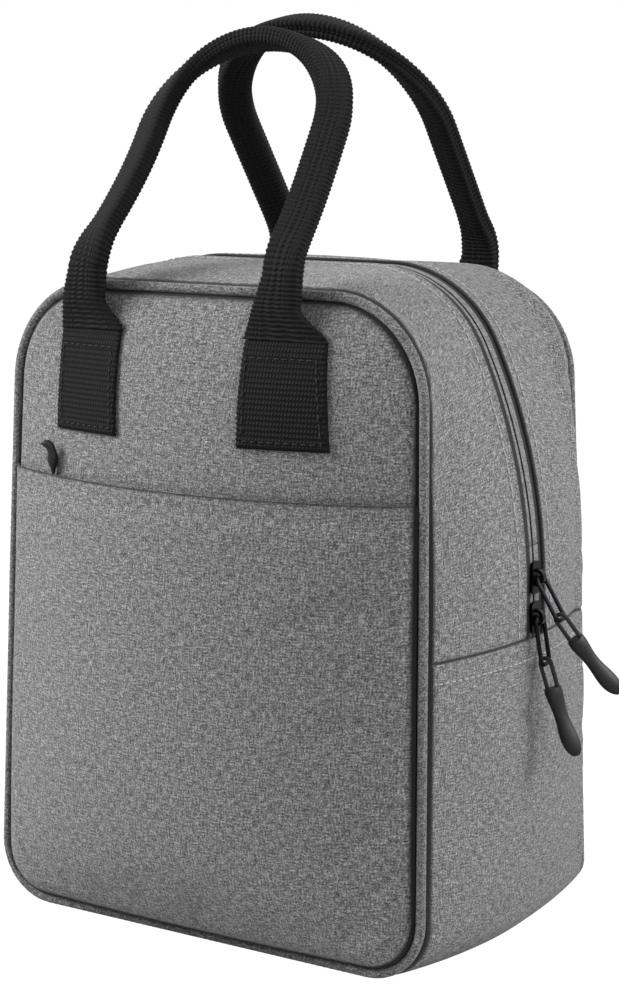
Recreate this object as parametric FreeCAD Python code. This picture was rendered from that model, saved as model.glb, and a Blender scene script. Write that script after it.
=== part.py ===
import FreeCAD
import Part
import math
import os

from FreeCAD import Placement, Rotation, Vector

# An insulated lunch bag with a zipped clamshell mouth, a front pocket and two webbing handles.
# Millimetres, +Z up, front towards -Y. The origin is on the floor, under the middle of the base.

# Shell, measured along the piped edges
BAG_HEIGHT = 268.0
BASE_WIDTH = 208.0
TOP_WIDTH = 198.0
BASE_DEPTH = 146.0
TOP_DEPTH = 124.0
FOLD_HEIGHT = 128.0       # the side seam, where the zip ends and the walls fold open
FOLD_GAP = 0.3            # between the base and the folding halves
TOP_CORNER = 42.0
BASE_CORNER = 24.0
FACE_CROWN = 25.0         # how far the front and back swell past their edges
SIDE_CROWN = 10.5
TOP_CROWN = 8.0
SHOULDER_HEIGHT = 145.0   # above it the swollen sides draw in towards the top
SIDE_BOW = 230.0
CREST_CORNER = 55.0

# Wall layers, from the outside in
FABRIC = 0.8
FOAM = 4.2
LINING = 0.4

# Piping round the front and back panels
PIPING_RADIUS = 2.0
PIPING_INSET = 0.5        # its centre, in from the shell's edge
PIPING_CLEAR = 0.1

# Zip over the top and half way down both sides
ZIP_GAP = 1.0             # between the two tapes, wide enough for the slider's neck
ZIP_WINDOW = 10.0         # between the two fabric edges
TAPE_WIDTH = 12.5
TAPE = 0.7
TAPE_CLEAR = 0.1          # under the fabric
COIL_WIDTH = 2.3
COIL = 1.8
TAPE_MARGIN = 0.2         # from the tape's edge to the foam and lining
ZIP_END_LENGTH = 37.0     # the closed end that stays with the base
ZIP_PART_GAP = 0.3
STOP_LENGTH = 1.2
STOP_WALL = 0.6

# Sliders and their pulls
SLIDER_LENGTH = 13.0
HEAD_WIDTH = 8.8
TAIL_WIDTH = 6.8
WING = 1.2
WING_CORNER = 2.0
SLIDER_CLEAR = 0.35
NECK_LENGTH = 4.0
NECK_CLEAR = 0.25
RIB_WIDTH = 0.6
RIB_CLEAR = 0.4
BRIDGE_RADIUS = 3.6
BRIDGE_HOLE = 2.2
BRIDGE_WIDTH = 2.4
LOWER_SLIDER_RISE = 8.0   # above the side seam
UPPER_SLIDER_RISE = 24.5
LINK_WIRE = 0.9
LINK_WIDTH = 7.0
LINK_LENGTH = 19.0
LINK_CORNER = 2.2
LINK_LIFT = 1.15          # the link's bar above the slider's wing
CORD_RADIUS = 0.9
CORD_LOOP = 2.4
CORD_LENGTH = 10.0
GRIP_LENGTH = 29.0
GRIP_TOP_RADIUS = 3.5
GRIP_WAIST_RADIUS = 2.9
GRIP_END_RADIUS = 3.7
GRIP_BOW = 2.2
UPPER_LINK_ANGLE = 30.0   # swung out from the wall
UPPER_PULL_ANGLE = 27.0
UPPER_PULL_SLANT = 22.0   # swung towards the back
LOWER_LINK_ANGLE = 10.0
LOWER_PULL_ANGLE = 17.0
LOWER_PULL_SLANT = 3.0

# Front pocket
POCKET_HEIGHT = 190.0
POCKET_GAP = 2.6
POCKET_ZIP_WIDTH = 14.0
POCKET_ZIP_DROP = 2.0     # below the pocket's edge
POCKET_TAPE = 0.5
POCKET_SLIDER_X = -67.0
POCKET_SLIDER_WIDTH = 8.0
POCKET_SLIDER_LENGTH = 9.0
POCKET_SLIDER_THICK = 1.3
POCKET_SLIDER_CLEAR = 0.3
POCKET_CORD_RADIUS = 0.6
POCKET_PULL_LENGTH = 17.0
POCKET_PULL_RADIUS = 2.3
POCKET_PULL_HOOK = 3.4
POCKET_PULL_LEAN = 3.0
POCKET_PULL_CLEAR = 0.4

# Webbing handles
WEBBING = 32.0
WEBBING_THICK = 2.4       # the end is turned under, two layers
HANDLE_INNER = 31.5       # from the middle of the bag to the webbing's inner edge
HANDLE_END_DROP = 18.0    # from the bag's top edge down to the sewn end
HANDLE_END_LENGTH = 41.0
GRIP_WIDTH = 16.0
GRIP_THICK = 9.0
GATHER_RISE = 25.0        # where the flat webbing is folded into the grip
FRONT_HANDLE_LEAN = 38.8
BACK_HANDLE_LEAN = 36.8
HANDLE_BEND = 22.0
FRONT_HANDLE_SPAN = 91.0  # between the grip's two legs
BACK_HANDLE_SPAN = 100.0
FRONT_HANDLE_SHIFT = -9.5  # the soft handles lean over towards the left
BACK_HANDLE_SHIFT = -3.0
HANDLE_MEET = 4.0         # half of the gap between the two grips at the top
HANDLE_CLEAR = 0.3

# The grid that the crowned faces are drawn through
BASE_TRIM = 1.0
CROWN_MARGIN = 8.0
CROWN_ROWS = 9
CROWN_COLUMNS = 9

ROOM = 2 * (BAG_HEIGHT + BASE_WIDTH + BASE_DEPTH)      # modelling room past the bag
SHELL = FABRIC + FOAM + LINING
HANDLE_END_HEAD = BAG_HEIGHT - HANDLE_END_DROP
HANDLE_END_FOOT = HANDLE_END_HEAD - HANDLE_END_LENGTH
TAPE_OUT = FABRIC + TAPE_CLEAR
POCKET_SLIDER_STAND = TAPE_OUT + POCKET_TAPE + POCKET_SLIDER_CLEAR
POCKET_PULL_STAND = POCKET_SLIDER_STAND + POCKET_SLIDER_THICK / 2
TAPE_IN = TAPE_OUT + TAPE
COIL_IN = TAPE_IN + COIL
EDGE_CLEAR = PIPING_RADIUS + PIPING_CLEAR
PANEL_INSET = PIPING_INSET + EDGE_CLEAR
PANEL_FOOT = PIPING_RADIUS + EDGE_CLEAR
FLAP_FOOT = FOLD_HEIGHT + FOLD_GAP
ZIP_OPEN_HEIGHT = FOLD_HEIGHT + ZIP_END_LENGTH
FACE_LEAN = math.degrees(math.atan2((BASE_DEPTH - TOP_DEPTH) / 2, BAG_HEIGHT))
FRONT, BACK = -1, 1
LEFT, RIGHT = -1, 1


def half_width(height):
    return (BASE_WIDTH - (BASE_WIDTH - TOP_WIDTH) * height / BAG_HEIGHT) / 2


def half_depth(height):
    return (BASE_DEPTH - (BASE_DEPTH - TOP_DEPTH) * height / BAG_HEIGHT) / 2


def face_depth(x, height):
    # how far the crowned face stands from the middle of the bag
    across = x / half_width(height)
    along = 2 * height / BAG_HEIGHT - 1
    return half_depth(height) + FACE_CROWN * (1 - across ** 2) * (1 - along ** 4)


def block(low, high):
    size = [b - a for a, b in zip(low, high)]
    return Part.makeBox(*size, Vector(*low))


def above(height):
    return block((-ROOM, -ROOM, height), (ROOM, ROOM, ROOM))


def below(height):
    return block((-ROOM, -ROOM, -ROOM), (ROOM, ROOM, height))


def rounded_corner(before, corner, after, radius):
    # start, middle and end of the arc that rounds a corner
    back = (before - corner).normalize()
    ahead = (after - corner).normalize()
    half = back.getAngle(ahead) / 2
    reach = radius / math.tan(half)
    middle = corner + (back + ahead).normalize() * (radius / math.sin(half) - radius)
    return corner + back * reach, middle, corner + ahead * reach


def rounded_wire(corners, radii):
    # closed outline of straight runs joined by tangent arcs
    count = len(corners)
    arcs = [rounded_corner(corners[i - 1], corners[i], corners[(i + 1) % count], radii[i])
            for i in range(count)]
    edges = []
    for i, (start, middle, end) in enumerate(arcs):
        edges.append(Part.Arc(start, middle, end).toShape())
        edges.append(Part.makeLine(end, arcs[(i + 1) % count][0]))
    return Part.Wire(edges)


def symmetric_wire(base_arc, shoulder, bow_middle, top_arc):
    # closed outline from its right half: base corner, side, bowed or straight upper side, top corner
    def other(point):
        return Vector(-point.x, point.y, point.z)

    def upper_side(low, middle, high):
        return Part.Arc(low, middle, high).toShape() if middle else Part.makeLine(low, high)

    opposite = other(bow_middle) if bow_middle else None
    edges = [Part.Arc(*base_arc).toShape(), Part.makeLine(base_arc[2], shoulder),
             upper_side(shoulder, bow_middle, top_arc[0]), Part.Arc(*top_arc).toShape(),
             Part.makeLine(top_arc[2], other(top_arc[2])),
             Part.Arc(*[other(point) for point in reversed(top_arc)]).toShape(),
             upper_side(other(top_arc[0]), opposite, other(shoulder)),
             Part.makeLine(other(shoulder), other(base_arc[2])),
             Part.Arc(*[other(point) for point in reversed(base_arc)]).toShape(),
             Part.makeLine(other(base_arc[0]), base_arc[0])]
    return Part.Wire(edges)


def outline(inset, foot):
    # the panel's rounded outline in the XZ plane, set in from the shell
    base, top, head = BASE_WIDTH / 2 - inset, TOP_WIDTH / 2 - inset, BAG_HEIGHT - inset
    low, high = Vector(base, 0, foot), Vector(top, 0, head)
    base_arc = rounded_corner(Vector(-base, 0, foot), low, high, BASE_CORNER - inset)
    top_arc = rounded_corner(low, high, Vector(-top, 0, head), TOP_CORNER - inset)
    shoulder = low + (high - low) * ((SHOULDER_HEIGHT - foot) / (head - foot))
    return symmetric_wire(base_arc, shoulder, None, top_arc)


def swollen_outline(inset, foot):
    # the gusset's outline half way between front and back: upright sides that bow in above the shoulder
    side, head = BASE_WIDTH / 2 + SIDE_CROWN - inset, BAG_HEIGHT + TOP_CROWN - inset
    bow, crest = SIDE_BOW - inset, CREST_CORNER - inset
    centre_x = side - bow
    crest_z = head - crest
    crest_x = centre_x + math.sqrt((bow - crest) ** 2 - (crest_z - SHOULDER_HEIGHT) ** 2)
    turn = math.atan2(crest_z - SHOULDER_HEIGHT, crest_x - centre_x)
    half_turn, half_crest = turn / 2, (turn + math.pi / 2) / 2
    start = Vector(centre_x + bow * math.cos(turn), 0, SHOULDER_HEIGHT + bow * math.sin(turn))
    bow_middle = Vector(centre_x + bow * math.cos(half_turn), 0, SHOULDER_HEIGHT + bow * math.sin(half_turn))
    middle = Vector(crest_x + crest * math.cos(half_crest), 0, crest_z + crest * math.sin(half_crest))
    shoulder = Vector(side, 0, SHOULDER_HEIGHT)
    base_arc = rounded_corner(Vector(-side, 0, foot), Vector(side, 0, foot), shoulder, BASE_CORNER - inset)
    return symmetric_wire(base_arc, shoulder, bow_middle, (start, middle, Vector(crest_x, 0, head)))


def edge_placement(side):
    # puts an XZ outline on the plane of the front or back edge
    return Placement(Vector(0, side * BASE_DEPTH / 2, 0), Rotation(Vector(1, 0, 0), side * FACE_LEAN))


def gusset_core(inset):
    # solid bounded by the gusset's surface at a depth in the wall
    foot = inset if inset else -BASE_TRIM
    front = outline(inset, foot)
    front.Placement = edge_placement(FRONT)
    middle = swollen_outline(inset, foot)
    back = outline(inset, foot)
    back.Placement = edge_placement(BACK)
    core = Part.makeLoft([front, middle, back], True, False)
    return core if inset else core.common(above(0))


def gusset_layer(outer, inner):
    return gusset_core(outer).cut(gusset_core(inner))


def between_pipings():
    # everything behind the front piping and before the back piping
    foot, head = -BASE_TRIM, BAG_HEIGHT + TOP_CROWN + BASE_TRIM
    corners = [Vector(-ROOM, side * (half_depth(z) - EDGE_CLEAR), z)
               for side, z in ((FRONT, foot), (BACK, foot), (BACK, head), (FRONT, head))]
    return Part.Face(Part.makePolygon(corners + corners[:1])).extrude(Vector(2 * ROOM, 0, 0))


def half_gusset(layer, side, from_middle):
    # the part of a gusset layer above the fold, on one side of the zip
    near, far = sorted((side * from_middle, side * ROOM))
    return layer.common(block((-ROOM, near, FLAP_FOOT), (ROOM, far, ROOM)))


def crown_face(side):
    rows = []
    half = BASE_WIDTH / 2 + CROWN_MARGIN
    for i in range(CROWN_ROWS):
        height = -CROWN_MARGIN + (BAG_HEIGHT + 2 * CROWN_MARGIN) * i / (CROWN_ROWS - 1)
        columns = [half * (2 * j / (CROWN_COLUMNS - 1) - 1) for j in range(CROWN_COLUMNS)]
        rows.append([Vector(x, side * face_depth(x, height), height) for x in columns])
    surface = Part.BSplineSurface()
    surface.interpolate(rows)
    return surface.toShape()


def face_layer(side, outer, inner):
    # sheet along a crowned face, between two depths counted inwards from it
    face = crown_face(side)
    face.translate(Vector(0, -side * outer, 0))
    return face.extrude(Vector(0, -side * (inner - outer), 0))


def prism(wire):
    face = Part.Face(wire)
    face.translate(Vector(0, -ROOM, 0))
    return face.extrude(Vector(0, 2 * ROOM, 0))


def panel(side, outer, inner, inset, foot):
    return face_layer(side, outer, inner).common(prism(outline(inset, foot)))


def piping(side):
    path = outline(PIPING_INSET, PIPING_RADIUS)
    path.Placement = edge_placement(side)
    start = path.Edges[1]
    point = start.valueAt(start.FirstParameter)
    ahead = start.tangentAt(start.FirstParameter)
    ring = Part.Wire(Part.makeCircle(PIPING_RADIUS, point, ahead))
    ordered = Part.Wire(path.Edges[1:] + path.Edges[:1])
    return ordered.makePipeShell([ring], True, False)


def zip_half(layer, side, inner, width):
    # tape or coil on one side of the zip, over its whole run
    near, far = sorted((side * inner, side * (inner + width)))
    return layer.common(block((-ROOM, near, FOLD_HEIGHT), (ROOM, far, ROOM)))


def on_track(height):
    # on the fabric's surface, at the middle of the zip's right-hand run, with X out of the wall
    side = BASE_WIDTH / 2 + SIDE_CROWN
    turn = math.asin(max(0.0, height - SHOULDER_HEIGHT) / SIDE_BOW)
    point = Vector(side - SIDE_BOW * (1 - math.cos(turn)), 0, height)
    return Placement(point, Rotation(Vector(0, 1, 0), -math.degrees(turn)))


def wing(low, high):
    # shield-shaped plate of a slider, wide at its head, which points down
    head, tail, half = HEAD_WIDTH / 2, TAIL_WIDTH / 2, SLIDER_LENGTH / 2
    corners = [Vector(low, -head, -half), Vector(low, head, -half),
               Vector(low, tail, half), Vector(low, -tail, half)]
    return Part.Face(rounded_wire(corners, [WING_CORNER] * 4)).extrude(Vector(high - low, 0, 0))


def slider(head_up):
    # local frame: X out of the wall, Z along the track, fabric surface at X = 0
    upper_low = SLIDER_CLEAR - TAPE_OUT
    upper_high = upper_low + WING
    lower_high = -COIL_IN - SLIDER_CLEAR
    neck_half = ZIP_GAP / 2 - NECK_CLEAR
    neck_foot = WING_CORNER - SLIDER_LENGTH / 2
    rib_in = ZIP_GAP / 2 + COIL_WIDTH + NECK_CLEAR
    rib_high = -TAPE_IN - RIB_CLEAR
    body = wing(upper_low, upper_high)
    body = body.fuse(wing(lower_high - WING, lower_high))
    neck_head = neck_foot + NECK_LENGTH
    body = body.fuse(block((lower_high, -neck_half, neck_foot), (upper_low, neck_half, neck_head)))
    rib_reach = SLIDER_LENGTH / 2 - WING_CORNER
    for low in (rib_in, -rib_in - RIB_WIDTH):
        body = body.fuse(block((lower_high, low, -rib_reach), (rib_high, low + RIB_WIDTH, rib_reach)))
    foot = Vector(upper_high, -BRIDGE_WIDTH / 2, 0)
    across = Vector(0, 1, 0)
    arch = Part.makeCylinder(BRIDGE_RADIUS, BRIDGE_WIDTH, foot, across)
    arch = arch.cut(Part.makeCylinder(BRIDGE_HOLE, BRIDGE_WIDTH, foot, across))
    arch = arch.common(block((upper_high, -ROOM, -ROOM), (ROOM, ROOM, ROOM)))
    body = body.fuse(arch).removeSplitter()
    if head_up:
        body.rotate(Vector(0, 0, 0), Vector(1, 0, 0), 180)
    return body


def link_pivot():
    return Vector(SLIDER_CLEAR - TAPE_OUT + WING + LINK_LIFT, 0, 0)


def swing(angle, slant=0.0):
    # turns a piece that hangs along -Z out from the wall, then towards the back
    return Rotation(Vector(0, 1, 0), -angle).multiply(Rotation(Vector(1, 0, 0), slant))


def pull_link():
    # wire loop that hangs from the slider's bridge
    half = LINK_WIDTH / 2
    corners = [Vector(0, -half, 0), Vector(0, -half, -LINK_LENGTH),
               Vector(0, half, -LINK_LENGTH), Vector(0, half, 0)]
    path = rounded_wire(corners, [LINK_CORNER] * 4)
    start = path.Edges[1]
    point = start.valueAt(start.FirstParameter)
    ring = Part.Wire(Part.makeCircle(LINK_WIRE, point, start.tangentAt(start.FirstParameter)))
    return Part.Wire(path.Edges[1:] + path.Edges[:1]).makePipeShell([ring], True, False)


def pull_cord():
    # cord doubled round the link's lower bar, down into the grip
    left_foot, left = Vector(-CORD_LOOP, 0, -CORD_LENGTH), Vector(-CORD_LOOP, 0, 0)
    right_foot, right = Vector(CORD_LOOP, 0, -CORD_LENGTH), Vector(CORD_LOOP, 0, 0)
    top = Vector(0, 0, CORD_LOOP)
    path = Part.Wire([Part.makeLine(left_foot, left), Part.Arc(left, top, right).toShape(),
                      Part.makeLine(right, right_foot)])
    ring = Part.Wire(Part.makeCircle(CORD_RADIUS, left_foot, Vector(0, 0, 1)))
    return path.makePipeShell([ring], True, False)


def pull_grip():
    # moulded grip: flat top, drawn-in waist, fuller rounded end, slightly bowed
    stations = [(0.0, GRIP_TOP_RADIUS), (0.15, GRIP_TOP_RADIUS), (0.45, GRIP_WAIST_RADIUS),
                (0.75, GRIP_END_RADIUS), (0.9, GRIP_END_RADIUS * 0.86), (1.0, GRIP_END_RADIUS * 0.4)]
    rings = []
    for share, radius in stations:
        bow = GRIP_BOW * share ** 2
        rings.append(Part.Wire(Part.makeCircle(radius, Vector(bow, 0, -CORD_LENGTH - GRIP_LENGTH * share))))
    return Part.makeLoft(rings, True, False)


def slider_set(name, rise, head_up, link_angle, pull_angle, slant):
    seat = on_track(FOLD_HEIGHT + rise)
    link_seat = seat.multiply(Placement(link_pivot(), swing(link_angle)))
    bar = link_seat.multVec(Vector(0, 0, -LINK_LENGTH))
    pull_seat = Placement(bar, seat.Rotation.multiply(swing(pull_angle, slant)))
    pieces = {name + "_slider": (slider(head_up), seat), name + "_link": (pull_link(), link_seat),
              name + "_pull_cord": (pull_cord(), pull_seat), name + "_pull_grip": (pull_grip(), pull_seat)}
    for shape, place in pieces.values():
        shape.Placement = place.multiply(shape.Placement)
    print(name, "link pivot", link_seat.Base, "pull pivot", bar)
    return {key: shape for key, (shape, place) in pieces.items()}


def racetrack(width, thick):
    # section of flat or folded webbing in the XY plane
    end, flat = thick / 2, (width - thick) / 2
    right = Part.Arc(Vector(flat, -end, 0), Vector(flat + end, 0, 0), Vector(flat, end, 0)).toShape()
    left = Part.Arc(Vector(-flat, end, 0), Vector(-flat - end, 0, 0), Vector(-flat, -end, 0)).toShape()
    return Part.Wire([right, Part.makeLine(Vector(flat, end, 0), Vector(-flat, end, 0)), left,
                      Part.makeLine(Vector(-flat, -end, 0), Vector(flat, -end, 0))])


def handle_hinge():
    # the line across the top of the sewn ends of the front handle, clear of the face at their inner edges
    stand = face_depth(HANDLE_INNER, HANDLE_END_HEAD) + FABRIC + HANDLE_CLEAR
    return Vector(0, -stand - WEBBING_THICK / 2, HANDLE_END_HEAD)


def handle_end(side, hand):
    low, high = sorted((hand * HANDLE_INNER, hand * (HANDLE_INNER + WEBBING)))
    sheet = face_layer(side, -FABRIC - WEBBING_THICK, -FABRIC)
    return sheet.common(block((low, -ROOM, HANDLE_END_FOOT), (high, ROOM, HANDLE_END_HEAD)))


def handle_grip(span, shift, lean_angle):
    # front handle: flat webbing gathers into a folded grip, rises past the edge and arches over the mouth
    hinge = handle_hinge()
    middle = HANDLE_INNER + WEBBING / 2
    half = span / 2
    lean = math.radians(lean_angle)
    up = Vector(0, math.sin(lean), math.cos(lean))
    bend_mid = lean / 2
    foot_z = hinge.z + GATHER_RISE
    bent = Vector(0, HANDLE_BEND * (1 - math.cos(lean)), HANDLE_BEND * math.sin(lean))
    half_bent = Vector(0, HANDLE_BEND * (1 - math.cos(bend_mid)), HANDLE_BEND * math.sin(bend_mid))
    reach = -hinge.y - HANDLE_MEET - GRIP_THICK / 2 - bent.y
    rise = reach / math.sin(lean) - half
    legs = []
    for hand in (LEFT, RIGHT):
        foot = Vector(shift + hand * half, hinge.y, foot_z)
        legs.append([foot, foot + half_bent, foot + bent, foot + bent + up * rise])
    crest = (legs[0][3] + legs[1][3]) / 2 + up * half
    left, right = legs
    path = Part.Wire([Part.Arc(left[0], left[1], left[2]).toShape(), Part.makeLine(left[2], left[3]),
                      Part.Arc(left[3], crest, right[3]).toShape(), Part.makeLine(right[3], right[2]),
                      Part.Arc(right[2], right[1], right[0]).toShape()])
    section = racetrack(GRIP_WIDTH, GRIP_THICK)
    section.translate(left[0])
    grip = path.makePipeShell([section], True, False)
    for hand in (LEFT, RIGHT):
        flat = racetrack(WEBBING, WEBBING_THICK)
        flat.translate(Vector(hand * middle, hinge.y, hinge.z + HANDLE_CLEAR))
        fold = racetrack(WEBBING * 0.7, GRIP_THICK * 0.55)
        fold.translate(Vector((hand * (middle + half) + shift) / 2, hinge.y, hinge.z + GATHER_RISE * 0.6))
        gathered = racetrack(GRIP_WIDTH, GRIP_THICK)
        gathered.translate(Vector(shift + hand * half, hinge.y, foot_z))
        grip = grip.fuse(Part.makeLoft([flat, fold, gathered], True, False))
    print("front handle hinge", hinge, "crest", crest)
    return grip.removeSplitter()


def pocket_seat(x, height, outward):
    return Vector(x, -face_depth(x, height) - outward, height)


def pocket_slider():
    # flat slider body between the bag's front and the pocket's edge
    middle = POCKET_HEIGHT - POCKET_ZIP_DROP - POCKET_ZIP_WIDTH / 2
    low = POCKET_SLIDER_STAND
    half = POCKET_SLIDER_WIDTH / 2
    sheet = face_layer(FRONT, -low - POCKET_SLIDER_THICK, -low)
    return sheet.common(block((POCKET_SLIDER_X - half, -ROOM, middle - POCKET_SLIDER_LENGTH / 2),
                              (POCKET_SLIDER_X + half, ROOM, middle + POCKET_SLIDER_LENGTH / 2)))


def pocket_cord():
    # short cord from the slider up to the pocket's edge
    slider_top = POCKET_HEIGHT - POCKET_ZIP_DROP - POCKET_ZIP_WIDTH / 2 + POCKET_SLIDER_LENGTH / 2
    foot_z = slider_top + TAPE_CLEAR
    foot = pocket_seat(POCKET_SLIDER_X, foot_z, POCKET_PULL_STAND)
    head = pocket_seat(POCKET_SLIDER_X, POCKET_HEIGHT, POCKET_PULL_STAND)
    return Part.makeCylinder(POCKET_CORD_RADIUS, head.distanceToPoint(foot), foot, head - foot)


def pocket_pull():
    # rubber pull that stands up out of the pocket and hooks over towards the side
    foot = pocket_seat(POCKET_SLIDER_X, POCKET_HEIGHT, POCKET_PULL_STAND)
    foot = foot + Vector(0, 0, POCKET_PULL_CLEAR)
    stations = [(0.0, 0.4), (0.15, 0.62), (0.35, 1.0), (0.55, 0.8), (0.75, 0.85), (0.92, 0.8), (1.0, 0.4)]
    rings = []
    for share, size in stations:
        turn = max(0.0, share - 0.4) / 0.6
        along = POCKET_PULL_LENGTH * share * (1 - 0.25 * turn ** 2)
        hook = POCKET_PULL_HOOK * (0.5 * share - 1.4 * turn ** 2)
        centre = foot + Vector(hook, -POCKET_PULL_LEAN * share, along)
        ahead = Vector(-0.9 * turn, -0.1, 1)
        rings.append(Part.Wire(Part.makeCircle(POCKET_PULL_RADIUS * size, centre, ahead)))
    print("pocket pull hinge", foot)
    return Part.makeLoft(rings, True, False)


def zip_stop(hand):
    # clip that closes the two tapes together where the zip ends
    half = ZIP_GAP / 2 + COIL_WIDTH + STOP_WALL
    back = -COIL_IN - TAPE_CLEAR
    clip = block((back - STOP_WALL, -half, TAPE_CLEAR), (back, half, STOP_LENGTH))
    clip.Placement = on_track(FOLD_HEIGHT)
    return clip if hand == RIGHT else clip.mirror(Vector(0, 0, 0), Vector(1, 0, 0))


def walls():
    # the layers of the base and of the two halves that fold open
    shapes = {}
    depths = {"": (0.0, FABRIC), "_foam": (FABRIC, FABRIC + FOAM), "_lining": (FABRIC + FOAM, SHELL)}
    tape_edge = ZIP_GAP / 2 + TAPE_WIDTH + TAPE_MARGIN
    middle = between_pipings()
    for layer, (outer, inner) in depths.items():
        ring = gusset_layer(outer, inner).common(middle)
        shapes["lower_gusset" + layer] = ring.common(below(FOLD_HEIGHT))
        edge = tape_edge if layer else ZIP_WINDOW / 2
        inset = SHELL + PIPING_CLEAR if layer else PANEL_INSET
        foot = SHELL + PIPING_CLEAR if layer else PANEL_FOOT
        for side, name in ((FRONT, "front"), (BACK, "back")):
            shapes[name + "_gusset_upper" + layer] = half_gusset(ring, side, edge)
            sheet = panel(side, outer - FABRIC, inner - FABRIC, inset, foot)
            shapes[name + "_panel_lower" + layer] = sheet.common(below(FOLD_HEIGHT))
            shapes[name + "_panel_upper" + layer] = sheet.common(above(FLAP_FOOT))
    for side, name in ((FRONT, "front"), (BACK, "back")):
        bead = piping(side)
        shapes[name + "_piping_lower"] = bead.common(below(FOLD_HEIGHT))
        shapes[name + "_piping_upper"] = bead.common(above(FLAP_FOOT))
    return shapes


def main_zip():
    tape = gusset_layer(TAPE_OUT, TAPE_IN)
    coil = gusset_layer(TAPE_IN, COIL_IN)
    shapes = {}
    ends = []
    for side, name in ((FRONT, "front"), (BACK, "back")):
        tape_side = zip_half(tape, side, ZIP_GAP / 2, TAPE_WIDTH)
        coil_side = zip_half(coil, side, ZIP_GAP / 2, COIL_WIDTH)
        shapes["zip_tape_" + name] = tape_side.common(above(ZIP_OPEN_HEIGHT + ZIP_PART_GAP))
        shapes["zip_coil_" + name] = coil_side.common(above(ZIP_OPEN_HEIGHT + ZIP_PART_GAP))
        ends.append(tape_side.fuse(coil_side).common(below(ZIP_OPEN_HEIGHT)))
    for hand, name in ((LEFT, "left"), (RIGHT, "right")):
        low, high = sorted((0.0, hand * ROOM))
        part = block((low, -ROOM, -ROOM), (high, ROOM, ROOM))
        shapes["zip_end_" + name] = Part.makeCompound([end.common(part).removeSplitter() for end in ends])
    shapes["zip_stops"] = Part.makeCompound([zip_stop(LEFT), zip_stop(RIGHT)])
    return shapes


def pocket():
    outer = -FABRIC - POCKET_GAP
    sheet = panel(FRONT, outer - FABRIC, outer, PANEL_INSET, PANEL_FOOT).common(below(POCKET_HEIGHT))
    tape_top = POCKET_HEIGHT - POCKET_ZIP_DROP
    tape = panel(FRONT, -FABRIC - TAPE_CLEAR - POCKET_TAPE, -FABRIC - TAPE_CLEAR, PANEL_INSET, PANEL_FOOT)
    return {"pocket_panel_lower": sheet.common(below(FOLD_HEIGHT)),
            "pocket_panel_upper": sheet.common(above(FLAP_FOOT)),
            "pocket_zip_tape": tape.common(below(tape_top)).common(above(tape_top - POCKET_ZIP_WIDTH)),
            "pocket_slider": pocket_slider(), "pocket_pull_cord": pocket_cord(),
            "pocket_pull": pocket_pull()}


def handles():
    shapes = {}
    for side, name in ((FRONT, "front"), (BACK, "back")):
        for hand, place in ((LEFT, "left"), (RIGHT, "right")):
            shapes[f"{name}_handle_{place}_end"] = handle_end(side, hand)
    shapes["front_handle"] = handle_grip(FRONT_HANDLE_SPAN, FRONT_HANDLE_SHIFT, FRONT_HANDLE_LEAN)
    back = handle_grip(BACK_HANDLE_SPAN, BACK_HANDLE_SHIFT, BACK_HANDLE_LEAN)
    shapes["back_handle"] = back.mirror(Vector(0, 0, 0), Vector(0, 1, 0))
    return shapes


def sliders():
    shapes = slider_set("upper", UPPER_SLIDER_RISE, False, UPPER_LINK_ANGLE, UPPER_PULL_ANGLE,
                        UPPER_PULL_SLANT)
    shapes.update(slider_set("lower", LOWER_SLIDER_RISE, True, LOWER_LINK_ANGLE, LOWER_PULL_ANGLE,
                             LOWER_PULL_SLANT))
    return shapes


def main():
    shapes = walls()
    for group in (main_zip, pocket, handles, sliders):
        shapes.update(group())
    os.makedirs("parts", exist_ok=True)
    for name, shape in shapes.items():
        solids = shape.Solids
        body = solids[0] if len(solids) == 1 else Part.makeCompound(solids)
        print(f"{name:28s} solids {len(solids)} valid {body.isValid()} volume {body.Volume:.1f}")
        body.exportStep(os.path.join("parts", name + ".step"))


main()
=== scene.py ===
import math

import bpy
import numpy as np
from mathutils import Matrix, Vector


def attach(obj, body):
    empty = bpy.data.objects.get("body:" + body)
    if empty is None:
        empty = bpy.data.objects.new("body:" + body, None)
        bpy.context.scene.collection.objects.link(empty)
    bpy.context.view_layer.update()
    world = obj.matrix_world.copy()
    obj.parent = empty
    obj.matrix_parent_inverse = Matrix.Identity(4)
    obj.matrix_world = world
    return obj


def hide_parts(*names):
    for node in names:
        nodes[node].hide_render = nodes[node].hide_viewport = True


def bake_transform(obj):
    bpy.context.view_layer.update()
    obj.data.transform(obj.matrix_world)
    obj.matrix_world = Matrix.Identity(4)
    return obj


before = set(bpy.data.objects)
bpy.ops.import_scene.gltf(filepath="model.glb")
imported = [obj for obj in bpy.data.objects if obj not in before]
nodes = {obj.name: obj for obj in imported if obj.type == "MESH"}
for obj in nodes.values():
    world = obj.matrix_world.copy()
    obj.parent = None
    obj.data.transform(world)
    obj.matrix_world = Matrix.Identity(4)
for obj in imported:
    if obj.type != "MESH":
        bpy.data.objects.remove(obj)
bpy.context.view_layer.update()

mm = 0.001

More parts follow.
